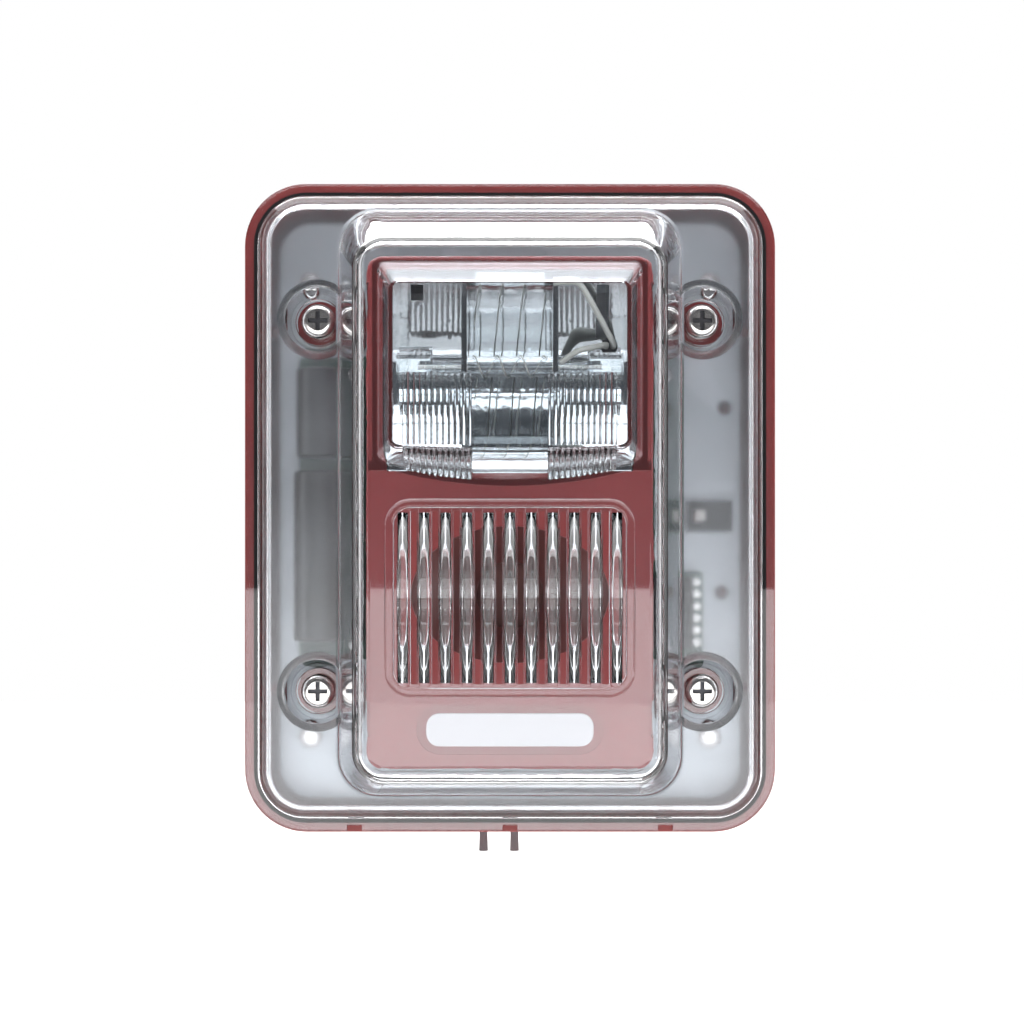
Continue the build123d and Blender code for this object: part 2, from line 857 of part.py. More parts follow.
with BuildPart() as disc_retainer:
    with BuildSketch(front(horn_rear)):
        with Locations((0, horn_z)):
            Circle(disc_radius)
            Circle(retainer_inner_radius, mode=Mode.SUBTRACT)
    extrude(amount=disc_seat - disc_thick - horn_rear)
disc_retainer.part.label = "disc_retainer"
export_step(disc_retainer.part, "parts/disc_retainer.step")

with BuildPart() as horn_leads:
    with BuildSketch(front(board_front)):
        with Locations((0, horn_z)):
            with GridLocations(8, 0, 2, 1):
                Circle(0.6)
    extrude(amount=disc_seat - disc_thick - board_front)
horn_leads.part.label = "horn_leads"
export_step(horn_leads.part, "parts/horn_leads.step")

# ---------------------------------------------------------------- reflector


def parabola_profile(vertex, mouth_half):
    """Closed parabola, axis towards the front at tube height, opening at the reflector front."""
    reach = reflector_front - vertex
    low = (-reflector_front, tube_z - mouth_half)
    high = (-reflector_front, tube_z + mouth_half)
    with BuildLine() as outline:
        Bezier(low, (-vertex + reach, tube_z), high)
        Line(high, low)
    return outline.line


trough_mouth = tube_drop - 0.5
wing_mouth = tube_drop - 1.5
wing_inner = trough_half_width + trough_cheek
wing_outer = reflector_half_width - wing_end_wall
wing_rear = reflector_front - wing_depth
wing_port_top = reflector_top - wing_port_drop + wing_port_left_height / 2

with BuildPart() as reflector:
    with BuildSketch(front(reflector_rear)):
        with Locations((0, reflector_mid)):
            Rectangle(2 * reflector_half_width, reflector_height)
    extrude(amount=reflector_depth)
    with BuildSketch(front(face_front - face_wall - 1.5)):
        with Locations((0, reflector_mid)):
            Rectangle(2 * reflector_half_width, reflector_height + 3.2)
    extrude(amount=1.5)
    with BuildSketch(across(-trough_half_width)):
        with BuildLine():
            add(parabola_profile(reflector_front - trough_depth, trough_mouth))
        make_face()
    extrude(amount=2 * trough_half_width, mode=Mode.SUBTRACT)
    with BuildSketch(across(-trough_floor_half_width)):
        with BuildLine():
            Polyline(
                (-reflector_front, reflector_bottom + 0.8),
                (-reflector_front, trough_floor_top),
                (-reflector_front + trough_floor_rear, trough_floor_top),
                close=True,
            )
        make_face()
    extrude(amount=2 * trough_floor_half_width, mode=Mode.SUBTRACT)
    for wing_start in (-wing_outer, wing_inner):
        with BuildSketch(across(wing_start)):
            with BuildLine():
                add(parabola_profile(wing_rear, wing_mouth))
            make_face()
        extrude(amount=wing_outer - wing_inner, mode=Mode.SUBTRACT)
    for side in (-1, 1):
        for rib in range(wing_rib_count):
            rib_x = side * (wing_rib_start + rib * wing_rib_pitch)
            with BuildSketch(across(rib_x - wing_rib_width / 2)):
                with BuildLine():
                    add(parabola_profile(wing_rear - 0.1, wing_mouth + 0.1))
                make_face()
                with BuildLine():
                    add(parabola_profile(wing_rear + wing_rib_height, wing_mouth - wing_rib_height))
                make_face(mode=Mode.SUBTRACT)
                with Locations((-reflector_front + wing_depth / 2, tube_z + (wing_rib_low + wing_mouth) / 2)):
                    Rectangle(wing_depth + 2, wing_mouth - wing_rib_low, mode=Mode.INTERSECT)
            extrude(amount=wing_rib_width)
    with BuildSketch(front(reflector_rear)):
        with Locations((-wing_port_x, wing_port_top - wing_port_left_height / 2)):
            Rectangle(wing_port_width, wing_port_left_height)
        with Locations((wing_port_x, wing_port_top - wing_port_right_height / 2)):
            Rectangle(wing_port_width, wing_port_right_height)
    extrude(amount=reflector_depth, mode=Mode.SUBTRACT)
    with BuildSketch(across(-wing_outer)):
        with Locations((-tube_depth, tube_z)):
            Circle(tube_radius + 0.4)
    extrude(amount=2 * wing_outer, mode=Mode.SUBTRACT)
    with BuildSketch(front(reflector_rear)):
        with Locations((grommet_x, grommet_z)):
            Circle(grommet_radius)
    extrude(amount=reflector_depth - wing_depth + 4, mode=Mode.SUBTRACT)
reflector.part.label = "reflector"
export_step(reflector.part, "parts/reflector.step")

# ---------------------------------------------------------------- strobe lens


def lens_edges(depth):
    """Half width, top, side bottom and middle bottom of the lens at a depth."""
    rise = (depth - face_front) / (lens_front - face_front)
    half_width = lens_half_width - lens_side_slope * rise
    top = lens_top - lens_top_slope * rise
    side_bottom = lens_side_bottom + lens_side_bottom_slope * rise
    mid_bottom = lens_mid_bottom + lens_mid_slope * rise
    return half_width, top, side_bottom, mid_bottom


def lens_outline(depth, side_inset, top_inset, bottom_inset, corner):
    """Lens outline at a depth: straight top and sides, bowed lower edge."""
    half_width, top, side_bottom, mid_bottom = lens_edges(depth)
    side = half_width - side_inset
    low = side_bottom + bottom_inset
    with BuildSketch(front(depth)) as outline:
        with BuildLine():
            Polyline((-side, low), (-side, top - top_inset), (side, top - top_inset), (side, low))
            ThreePointArc((side, low), (0, mid_bottom + bottom_inset), (-side, low))
        make_face()
        fillet(outline.vertices(), radius=corner)
    return outline.sketch


flute_radius = 0.55 * flute_pitch
step_front = lens_front + step_rise
flute_depth = step_front + flute_pitch / 2 - flute_radius
flute_middle = flute_inner + flute_pitch * flute_count / 2
prism_outer = lens_half_width - lens_side_slope - prism_inset
prism_start = lens_side_bottom + lens_side_bottom_slope + 1.2
prism_points = [(prism_outer, prism_start)]
for tooth in range(prism_count):
    tooth_low = prism_start + tooth * prism_pitch
    prism_points.append((prism_outer - prism_width, tooth_low))
    prism_points.append((prism_outer - prism_width + prism_height, tooth_low + 0.75 * prism_pitch))
prism_points.append((prism_outer, prism_start + prism_count * prism_pitch))

with BuildPart() as strobe_lens:
    extrude(
        lens_outline(face_front, -lens_flange_margin, -lens_flange_margin, -lens_flange_margin, lens_corner),
        amount=lens_flange_thick,
    )
    with BuildSketch(front(face_front)):
        with Locations((0, lens_side_bottom - 0.5)):
            with GridLocations(2 * lens_tab_x, 0, 2, 1):
                Rectangle(lens_tab_width, lens_tab_height)
    extrude(amount=lens_flange_thick)
    loft(
        [
            lens_outline(face_front + 0.2, 0, 0, 0, lens_corner),
            lens_outline(lens_front, 0, 0, 0, lens_corner),
        ],
        ruled=True,
    )
    fillet(strobe_lens.faces().sort_by(Axis.Y)[0].edges(), radius=lens_fillet)
    loft(
        [
            lens_outline(face_front - 0.5, lens_wall, lens_wall, lens_wall, lens_inner_corner),
            lens_outline(lens_front - lens_wall, lens_wall, lens_wall, lens_wall, lens_inner_corner),
        ],
        ruled=True,
        mode=Mode.SUBTRACT,
    )
    with BuildSketch(front(lens_front - 0.1)) as step:
        add(lens_outline(lens_front, lens_fillet, lens_fillet, lens_fillet, 1.0))
        with Locations((0, step_top - 25)):
            Rectangle(2 * lens_half_width, 50, mode=Mode.INTERSECT)
    extrude(amount=step_rise + 0.1)
    with BuildSketch(front(step_front - 0.1)) as prisms:
        with BuildLine():
            Polyline(*prism_points, close=True)
        make_face()
        mirror(about=Plane.YZ)
    extrude(amount=prism_rise + 0.1)
    with BuildSketch(Plane.XY.offset(flute_bottom)):
        for side in (-1, 1):
            with Locations((side * flute_middle, -flute_depth)):
                with GridLocations(flute_pitch, 0, flute_count, 1):
                    Circle(flute_radius)
    extrude(amount=flute_top - flute_bottom)
strobe_lens.part.label = "strobe_lens"
export_step(strobe_lens.part, "parts/strobe_lens.step")

# ---------------------------------------------------------------- flash tube and its leads

with BuildPart() as flash_tube:
    with BuildSketch(across(-tube_half_length)):
        with Locations((-tube_depth, tube_z)):
            Circle(tube_radius)
    extrude(amount=2 * tube_half_length)
    with BuildSketch(across(-tube_half_length + tube_end_thick)):
        with Locations((-tube_depth, tube_z)):
            Circle(tube_bore)
    extrude(amount=2 * (tube_half_length - tube_end_thick), mode=Mode.SUBTRACT)
    with BuildSketch(across(-tube_half_length)):
        with Locations((-tube_depth, tube_z)):
            Circle(electrode_radius + 0.02)
    extrude(amount=2 * tube_half_length, mode=Mode.SUBTRACT)
flash_tube.part.label = "flash_tube"
export_step(flash_tube.part, "parts/flash_tube.step")

with BuildPart() as tube_electrodes:
    for start in (-electrode_reach, electrode_reach - electrode_length):
        with BuildSketch(across(start)):
            with Locations((-tube_depth, tube_z)):
                Circle(electrode_radius)
        extrude(amount=electrode_length)
    for start in (-electrode_reach + electrode_length - 1.6, electrode_reach - electrode_length):
        with BuildSketch(across(start)):
            with Locations((-tube_depth, tube_z)):
                Circle(1.3)
        extrude(amount=1.6)
tube_electrodes.part.label = "tube_electrodes"
export_step(tube_electrodes.part, "parts/tube_electrodes.step")

cap_start = tube_half_length - cap_grip

with BuildPart() as tube_end_caps:
    for start in (-cap_start - cap_length, cap_start):
        with BuildSketch(across(start)):
            with Locations((-tube_depth, tube_z)):
                Circle(cap_radius)
        extrude(amount=cap_length)
    with BuildSketch(across(-electrode_reach)):
        with Locations((-tube_depth, tube_z)):
            Circle(electrode_radius + 0.02)
    extrude(amount=2 * electrode_reach, mode=Mode.SUBTRACT)
    with BuildSketch(across(-tube_half_length)):
        with Locations((-tube_depth, tube_z)):
            Circle(tube_radius + 0.02)
    extrude(amount=2 * tube_half_length, mode=Mode.SUBTRACT)
tube_end_caps.part.label = "tube_end_caps"
export_step(tube_end_caps.part, "parts/tube_end_caps.step")

lead_bend_inset = 2.8
lead_bend_rise = 6.7
lead_bend_z = board_screw_z + 0.5
trigger_lead_points = [
    (trough_half_width + 0.1, -reflector_front - 1.0, reflector_top - 2.6),
    (trough_half_width + 6.8, -reflector_front - 1.2, reflector_top - 2.2),
    (grommet_x - lead_bend_inset, -reflector_front + 1.9, grommet_z + lead_bend_rise),
    (grommet_x + grommet_hole_offset, -tube_depth - 0.6, grommet_z),
    (grommet_x + grommet_hole_offset, -horn_rear - 2, grommet_z),
    (grommet_x + grommet_hole_offset, -board_front - 4.4, lead_bend_z),
    (grommet_x + grommet_hole_offset, -board_front, lead_bend_z),
]
lead_start = trough_half_width + trough_cheek + 0.4
anode_lead_points = [
    (lead_start, -tube_depth - tube_radius - lead_radius - 0.1, tube_z + 0.6),
    (lead_start + 4.6, -tube_depth - tube_radius - lead_radius - 0.1, tube_z + 3.8),
    (grommet_x - grommet_hole_offset, -tube_depth - 0.4, grommet_z),
    (grommet_x - grommet_hole_offset, -horn_rear - 2, grommet_z),
    (grommet_x - grommet_hole_offset, -board_front - 4.4, lead_bend_z),
    (grommet_x - grommet_hole_offset, -board_front, lead_bend_z),
]

with BuildPart() as trigger_lead:
    add(round_lead(trigger_lead_points, [4.0, 6.0, 3.0, 3.0, 2.2], lead_radius))
trigger_lead.part.label = "trigger_lead"
export_step(trigger_lead.part, "parts/trigger_lead.step")

with BuildPart() as anode_lead:
    add(round_lead(anode_lead_points, [6.0, 2.4, 3.0, 2.2], lead_radius))
anode_lead.part.label = "anode_lead"
export_step(anode_lead.part, "parts/anode_lead.step")

with BuildPart() as lead_grommet:
    with BuildSketch(front(reflector_rear - grommet_lip)):
        with Locations((grommet_x, grommet_z)):
            Circle(grommet_radius + grommet_lip)
    extrude(amount=grommet_lip)
    with BuildSketch(front(reflector_rear)):
        with Locations((grommet_x, grommet_z)):
            Circle(grommet_radius - 0.03)
    extrude(amount=wing_rear + 2.0 - reflector_rear)
    fillet(lead_grommet.faces().sort_by(Axis.Y)[0].edges(), radius=0.35)
    with BuildSketch(front(reflector_rear - grommet_lip)):
        with Locations((grommet_x, grommet_z)):
            with GridLocations(2 * grommet_hole_offset, 0, 2, 1):
                Circle(lead_radius + 0.03)
    extrude(amount=wing_rear + 3.0 + grommet_lip - reflector_rear, mode=Mode.SUBTRACT)
lead_grommet.part.label = "lead_grommet"
export_step(lead_grommet.part, "parts/lead_grommet.step")

with BuildPart() as trigger_wire:
    with BuildLine() as winding:
        Helix(
            pitch=wire_pitch,
            height=2 * wire_half_span,
            radius=tube_radius + wire_radius + 0.03,
            center=(-wire_half_span, -tube_depth, tube_z),
            direction=(1, 0, 0),
        )
    with BuildSketch(Plane(origin=winding.line @ 0, z_dir=winding.line % 0)):
        Circle(wire_radius)
    sweep(path=winding.line, is_frenet=True)
trigger_wire.part.label = "trigger_wire"
export_step(trigger_wire.part, "parts/trigger_wire.step")

# ---------------------------------------------------------------- terminal block

block_width = poles * pole_pitch + 1.2
block_top = block_z + block_height / 2
head_seat = block_rear + 2.4
cage_cavity_rear = head_seat + 1.0
cage_rear = cage_cavity_rear + 0.2 + cage_travel
strip_rear = cage_rear + cage_wall + 0.1
strip_thick = 0.8
strip_width = 2.8
pole_z = block_z - 0.6
pole_points = [((pole - (poles - 1) / 2) * pole_pitch, pole_z) for pole in range(poles)]

with BuildPart() as terminal_block:
    with BuildSketch(front(block_rear)):
        with Locations((0, block_z)):
            Rectangle(block_width, block_height)
    extrude(amount=board_rear - block_rear)
    chamfer(terminal_block.faces().sort_by(Axis.Y)[-1].edges(), length=0.5)
    with BuildSketch(front(block_rear)):
        with Locations(*pole_points):
            Circle(terminal_head_radius + 0.25)
    extrude(amount=head_seat - block_rear, mode=Mode.SUBTRACT)
    with BuildSketch(front(head_seat)):
        with Locations(*pole_points):
            Circle(terminal_screw_radius + 0.2)
    extrude(amount=2, mode=Mode.SUBTRACT)
    with BuildSketch(front(cage_cavity_rear)):
        with Locations(*pole_points):
            Rectangle(cage_width + 0.4, cage_height + 0.4)
    extrude(amount=cage_travel + cage_depth + 0.5, mode=Mode.SUBTRACT)
    with BuildSketch(Plane.XY.offset(block_top)):
        for x, z in pole_points:
            with Locations((x, -strip_rear - strip_thick - 1.4)):
                Rectangle(3.8, 3.6)
    extrude(amount=-(block_top - pole_z), mode=Mode.SUBTRACT)
    with BuildSketch(front(strip_rear - 0.1)):
        for x, z in pole_points:
            with Locations((x, z - 1.2)):
                Rectangle(3.0, 8.0)
    extrude(amount=board_rear - strip_rear + 0.1, mode=Mode.SUBTRACT)
terminal_block.part.label = "terminal_block"
export_step(terminal_block.part, "parts/terminal_block.step")

with BuildPart() as terminal_contacts:
    with BuildSketch(front(strip_rear)):
        for x, z in pole_points:
            with Locations((x, z - 1.2)):
                Rectangle(strip_width, 7.6)
    extrude(amount=strip_thick)
    with BuildSketch(front(strip_rear)):
        for x, z in pole_points:
            with Locations((x, z - 1.2 - 3.8 + 0.4)):
                Rectangle(strip_width, strip_thick)
    extrude(amount=board_rear - strip_rear)
    with BuildSketch(front(strip_rear)):
        with Locations(*pole_points):
            Circle(terminal_screw_radius + fit_clearance)
    extrude(amount=strip_thick, mode=Mode.SUBTRACT)
terminal_contacts.part.label = "terminal_contacts"
export_step(terminal_contacts.part, "parts/terminal_contacts.step")

for pole, point in enumerate(pole_points, start=1):
    with BuildPart() as terminal_screw:
        add(
            pan_screws(
                [point],
                head_seat,
                terminal_head_radius,
                1.6,
                terminal_screw_radius,
                strip_rear + strip_thick + 0.4 - head_seat,
                facing=-1,
            )
        )
    terminal_screw.part.label = f"terminal_screw_{pole}"
    export_step(terminal_screw.part, f"parts/terminal_screw_{pole}.step")

    with BuildPart() as clamp_cage:
        with BuildSketch(front(cage_rear)):
            with Locations(point):
                Rectangle(cage_width, cage_height)
        extrude(amount=cage_depth)
        with BuildSketch(front(cage_rear + cage_wall)):
            with Locations(point):
                Rectangle(cage_width - 1.4, cage_height)
        extrude(amount=cage_depth - 2 * cage_wall, mode=Mode.SUBTRACT)
        with BuildSketch(front(cage_rear)):
            with Locations(point):
                Circle(terminal_screw_radius + thread_clearance)
        extrude(amount=cage_wall, mode=Mode.SUBTRACT)
    clamp_cage.part.label = f"clamp_cage_{pole}"
    export_step(clamp_cage.part, f"parts/clamp_cage_{pole}.step")

# ---------------------------------------------------------------- switches

selector_front = plate_front + selector_rise

with BuildPart() as selector_switch:
    with BuildSketch(front(plate_front)):
        with Locations((selector_x, selector_z)):
            RectangleRounded(selector_width, selector_height, 0.5)
    extrude(amount=selector_rise)
    with BuildSketch(front(selector_front - 2.6)):
        with Locations((selector_x, selector_z)):
            Rectangle(selector_knob + selector_travel + 0.4, selector_knob + 0.4)
    extrude(amount=2.6, mode=Mode.SUBTRACT)
    with BuildSketch(front(selector_front - 0.5)):
        with Locations((selector_x, selector_z)):
            with GridLocations(0, selector_height - 2.4, 1, 2):
                Rectangle(selector_width, 0.7)
    extrude(amount=0.5, mode=Mode.SUBTRACT)
selector_switch.part.label = "selector_switch"
export_step(selector_switch.part, "parts/selector_switch.step")

with BuildPart() as selector_slider:
    with BuildSketch(front(selector_front - 2.5)):
        with Locations((selector_x - selector_travel / 2, selector_z)):
            Rectangle(selector_knob, selector_knob)
    extrude(amount=5.3)
    chamfer(selector_slider.faces().sort_by(Axis.Y)[0].edges(), length=0.4)
selector_slider.part.label = "selector_slider"
export_step(selector_slider.part, "parts/selector_slider.step")

dip_rear = board_rear - 5.0
dip_points = [(dip_x - dip_pitch / 2, dip_z), (dip_x + dip_pitch / 2, dip_z)]

with BuildPart() as dip_switch:
    with BuildSketch(front(dip_rear)):
        with Locations((dip_x, dip_z)):
            Rectangle(2 * dip_pitch + 2.2, 9.8)
    extrude(amount=board_rear - dip_rear)
    with BuildSketch(front(dip_rear)):
        with Locations(*dip_points):
            Rectangle(dip_lever + 0.3, 1.6 + dip_travel + 0.2)
    extrude(amount=2.2, mode=Mode.SUBTRACT)
dip_switch.part.label = "dip_switch"
export_step(dip_switch.part, "parts/dip_switch.step")

for lever_name, point in zip(("tone_lever", "volume_lever"), dip_points):
    with BuildPart() as dip_lever_part:
        with BuildSketch(front(dip_rear - 1.3)):
            with Locations((point[0], point[1] - dip_travel / 2)):
                Rectangle(dip_lever, 1.6)
        extrude(amount=3.3)
    dip_lever_part.part.label = lever_name
    export_step(dip_lever_part.part, f"parts/{lever_name}.step")

# ---------------------------------------------------------------- clear cover

well_slope = (well_mouth_radius - well_seat_radius) / (flange_front - well_seat)
well_taper = -degrees(atan(well_slope))
inner_flange = flange_front - cover_wall
dome_inner = dome_front - cover_wall

with BuildPart() as cover_cavity:
    loft(
        [
            box_outline(cover_base - 1, shoulder_inset + cover_wall),
            box_outline(inner_flange, shoulder_inset + shoulder_slope + cover_wall),
        ],
        ruled=True,
    )
    fillet(cover_cavity.faces().sort_by(Axis.Y)[0].edges(), radius=shoulder_fillet - cover_wall)
    loft([dome_outline(inner_flange - 1, cover_wall), dome_outline(dome_inner, cover_wall)], ruled=True)
    fillet(cover_cavity.faces().sort_by(Axis.Y)[0].edges(), radius=dome_fillet - cover_wall)
    with BuildSketch(front(well_floor)):
        with Locations(*cover_screw_points):
            Circle(well_seat_radius + well_wall)
    extrude(amount=flange_front + 2 - well_floor, taper=well_taper, mode=Mode.SUBTRACT)

with BuildPart() as clear_cover:
    extrude(box_outline(cover_base, lip_inset), amount=lip_thick)
    loft(
        [
            box_outline(cover_base + 0.5, shoulder_inset),
            box_outline(flange_front, shoulder_inset + shoulder_slope),
        ],
        ruled=True,
    )
    fillet(clear_cover.faces().sort_by(Axis.Y)[0].edges(), radius=shoulder_fillet)
    loft([dome_outline(flange_front - 1, 0), dome_outline(dome_front, 0)], ruled=True)
    fillet(clear_cover.faces().sort_by(Axis.Y)[0].edges(), radius=dome_fillet)
    dome_root = [
        edge
        for edge in clear_cover.edges().filter_by_position(Axis.Y, -flange_front - 0.01, -flange_front + 0.01)
        if abs(edge.center().X) < box_width / 2 - dome_side_margin + 1
        and abs(edge.center().Z) < box_height / 2 - dome_top_margin + 1
    ]
    fillet(dome_root, radius=dome_root_fillet)
    add(cover_cavity.part, mode=Mode.SUBTRACT)
    with BuildSketch(front(well_floor)):
        with Locations(*cover_screw_points):
            Circle(well_seat_radius + well_wall)
    extrude(amount=inner_flange + 1 - well_floor, taper=well_taper)
    with BuildSketch(front(well_seat)):
        with Locations(*cover_screw_points):
            Circle(well_seat_radius)
    extrude(amount=flange_front - well_seat, taper=well_taper, mode=Mode.SUBTRACT)
    with BuildSketch(front(well_floor)):
        with Locations(*cover_screw_points):
            Circle(cover_screw_radius + 0.25)
    extrude(amount=well_wall, mode=Mode.SUBTRACT)
    with BuildSketch(front(dome_front)):
        with Locations((0, grille_centre_z)):
            RectangleRounded(
                grille_width + bead_gap + 2 * bead_width,
                grille_height + bead_gap + 2 * bead_width,
                grille_corner + bead_width,
            )
            RectangleRounded(grille_width + bead_gap, grille_height + bead_gap, grille_corner, mode=Mode.SUBTRACT)
    extrude(amount=bead_height)
    fillet(clear_cover.faces().sort_by(Axis.Y)[0].edges(), radius=0.7)
    with BuildSketch(front(dome_inner - 1)):
        with Locations((0, grille_centre_z)):
            RectangleRounded(grille_width, grille_height, grille_corner)
    extrude(amount=cover_wall + 2, mode=Mode.SUBTRACT)
    with BuildSketch(Plane.XY.offset(grille_centre_z - grille_height / 2 - 0.6)):
        with Locations((0, -dome_front + (cover_wall - grille_rib_proud) / 2)):
            with GridLocations(grille_pitch, 0, grille_slots + 1, 1):
                RectangleRounded(grille_pitch - grille_slot_width, cover_wall + grille_rib_proud, 1.3)
    extrude(amount=grille_height + 1.2)
    with BuildSketch(front(cover_base)):
        with Locations((0, -box_height / 2 + lip_inset)):
            with GridLocations(notch_pitch, 0, 3, 1):
                Rectangle(notch_width, 2 * notch_depth)
    extrude(amount=lip_thick, mode=Mode.SUBTRACT)
clear_cover.part.label = "clear_cover"
export_step(clear_cover.part, "parts/clear_cover.step")

with BuildPart() as cover_screws:
    add(
        pan_screws(
            cover_screw_points,
            well_seat + seal_thick,
            cover_head_radius,
            cover_head_height,
            cover_screw_radius,
            cover_screw_length,
        )
    )
cover_screws.part.label = "cover_screws"
export_step(cover_screws.part, "parts/cover_screws.step")

with BuildPart() as screw_seals:
    with BuildSketch(front(well_seat)):
        with Locations(*cover_screw_points):
            Circle(cover_head_radius - 0.2)
            Circle(cover_screw_radius + thread_clearance, mode=Mode.SUBTRACT)
    extrude(amount=seal_thick)
screw_seals.part.label = "screw_seals"
export_step(screw_seals.part, "parts/screw_seals.step")

with BuildPart() as screw_retainers:
    with BuildSketch(front(boss_top + 0.5)):
        with Locations(*cover_screw_points):
            Circle(cover_screw_radius + 1.9)
            Circle(cover_screw_radius + 0.02, mode=Mode.SUBTRACT)
    extrude(amount=0.6)
screw_retainers.part.label = "screw_retainers"
export_step(screw_retainers.part, "parts/screw_retainers.step")
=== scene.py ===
import json
import math

import bmesh
import bpy
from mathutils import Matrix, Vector


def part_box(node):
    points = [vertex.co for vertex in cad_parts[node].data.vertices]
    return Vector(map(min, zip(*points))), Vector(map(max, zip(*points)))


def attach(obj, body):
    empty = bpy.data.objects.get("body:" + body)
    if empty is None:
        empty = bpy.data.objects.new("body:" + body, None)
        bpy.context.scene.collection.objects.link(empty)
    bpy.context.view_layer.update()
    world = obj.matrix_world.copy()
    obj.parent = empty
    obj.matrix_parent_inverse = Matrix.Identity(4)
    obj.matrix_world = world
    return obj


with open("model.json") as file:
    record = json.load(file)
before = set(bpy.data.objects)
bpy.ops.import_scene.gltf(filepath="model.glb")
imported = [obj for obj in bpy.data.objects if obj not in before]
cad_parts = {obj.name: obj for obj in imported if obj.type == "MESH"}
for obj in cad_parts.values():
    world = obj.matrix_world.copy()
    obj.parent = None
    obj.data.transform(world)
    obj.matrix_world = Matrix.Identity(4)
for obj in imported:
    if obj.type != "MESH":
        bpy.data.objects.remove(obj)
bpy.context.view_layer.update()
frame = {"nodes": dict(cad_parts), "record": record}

# Metres. +X right, +Z up, the front faces -Y and the wall face lies on Y = 0.

scene = bpy.context.scene
nodes_in_frame = frame["nodes"]

LENS_LOW, LENS_HIGH = (Vector(corner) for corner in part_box("strobe_lens"))
SCREW_LOW, SCREW_HIGH = (Vector(corner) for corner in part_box("cover_screws"))
FLANGE_FRONT = -0.0490
FLANGE_TOLERANCE = 0.0006


# ---------------------------------------------------------------- node groups shared by the finishes

def new_group(name, inputs, outputs):
    """Empty shader group with named sockets; inputs are (name, kind, default)."""
    group = bpy.data.node_groups.new(name, "ShaderNodeTree")
    for label, kind, default in inputs:
        socket = group.interface.new_socket(label, in_out="INPUT", socket_type="NodeSocket" + kind)
        if default is not None:
            socket.default_value = default
    for label, kind in outputs:
        group.interface.new_socket(label, in_out="OUTPUT", socket_type="NodeSocket" + kind)
    start = group.nodes.new("NodeGroupInput")
    end = group.nodes.new("NodeGroupOutput")
    return group, start, end


def add_node(tree, kind, values=None, **settings):
    node = tree.nodes.new("ShaderNode" + kind)
    for key, value in settings.items():
        setattr(node, key, value)
    for key, value in (values or {}).items():
        node.inputs[key].default_value = value
    return node


def join(tree, source, out, target, into):
    tree.links.new(source.outputs[out], target.inputs[into])


def build_mould_grain():
    """Fine skin of a moulded plastic: pebbled height, slow colour drift and a rub mask."""
    group, start, end = new_group(
        "MouldGrain",
        [("Vector", "Vector", None), ("Grain Size", "Float", 1800.0), ("Drift Size", "Float", 22.0)],
        [("Height", "Float"), ("Drift", "Float"), ("Rub", "Float")],
    )
    grain = add_node(group, "TexNoise", {"Detail": 3.0, "Roughness": 0.6})
    join(group, start, "Vector", grain, "Vector")
    join(group, start, "Grain Size", grain, "Scale")
    drift = add_node(group, "TexNoise", {"Detail": 2.0, "Roughness": 0.5})
    join(group, start, "Vector", drift, "Vector")
    join(group, start, "Drift Size", drift, "Scale")
    rub = add_node(group, "TexNoise", {"Scale": 140.0, "Detail": 5.0, "Roughness": 0.7})
    join(group, start, "Vector", rub, "Vector")
    rub_range = add_node(group, "MapRange", {1: 0.55, 2: 0.75, 3: 0.0, 4: 1.0})
    join(group, rub, "Fac", rub_range, 0)
    join(group, grain, "Fac", end, "Height")
    join(group, drift, "Fac", end, "Drift")
    join(group, rub_range, 0, end, "Rub")
    return group


def build_brush_lines():
    """Fine straight lines of rolled or turned metal, with spangle patches."""
    group, start, end = new_group(
        "BrushLines",
        [
            ("Vector", "Vector", None),
            ("Stretch", "Vector", (40.0, 40.0, 2200.0)),
            ("Spangle Size", "Float", 90.0),
        ],
        [("Height", "Float"), ("Spangle", "Float")],
    )
    scale = add_node(group, "VectorMath", operation="MULTIPLY")
    join(group, start, "Vector", scale, 0)
    join(group, start, "Stretch", scale, 1)
    lines = add_node(group, "TexNoise", {"Scale": 1.0, "Detail": 4.0, "Roughness": 0.6})
    group.links.new(scale.outputs[0], lines.inputs["Vector"])
    spangle = add_node(group, "TexVoronoi", {"Scale": 90.0})
    join(group, start, "Vector", spangle, "Vector")
    join(group, start, "Spangle Size", spangle, "Scale")
    grey = add_node(group, "RGBToBW")
    join(group, spangle, "Color", grey, 0)
    join(group, lines, "Fac", end, "Height")
    join(group, grey, 0, end, "Spangle")
    return group


def build_dust_veil():
    """Faint settled dust and finger marks, as a noise mask scaled by Amount."""
    group, start, end = new_group(
        "DustVeil",
        [("Vector", "Vector", None), ("Amount", "Float", 0.3)],
        [("Mask", "Float")],
    )
    cloud = add_node(group, "TexNoise", {"Scale": 60.0, "Detail": 6.0, "Roughness": 0.65})
    join(group, start, "Vector", cloud, "Vector")
    spread = add_node(group, "MapRange", {1: 0.45, 2: 0.8, 3: 0.0, 4: 1.0})
    join(group, cloud, "Fac", spread, 0)
    times = add_node(group, "Math", operation="MULTIPLY")
    join(group, spread, 0, times, 0)
    join(group, start, "Amount", times, 1)
    join(group, times, 0, end, "Mask")
    return group


MOULD_GRAIN = build_mould_grain()
BRUSH_LINES = build_brush_lines()
DUST_VEIL = build_dust_veil()


# ---------------------------------------------------------------- finishes

def start_finish(name, colour, roughness, metallic=0.0, transmission=0.0, ior=1.49):
    """New material with one Principled shader and Object coordinates."""
    material = bpy.data.materials.new(name)
    material.use_nodes = True
    tree = material.node_tree
    tree.nodes.clear()
    output = add_node(tree, "OutputMaterial")
    shader = add_node(
        tree,
        "BsdfPrincipled",
        {
            "Base Color": (*colour, 1.0),
            "Roughness": roughness,
            "Metallic": metallic,
            "Transmission Weight": transmission,
            "IOR": ior,
        },
    )
    join(tree, shader, 0, output, "Surface")
    place = add_node(tree, "TexCoord")
    return material, tree, shader, place


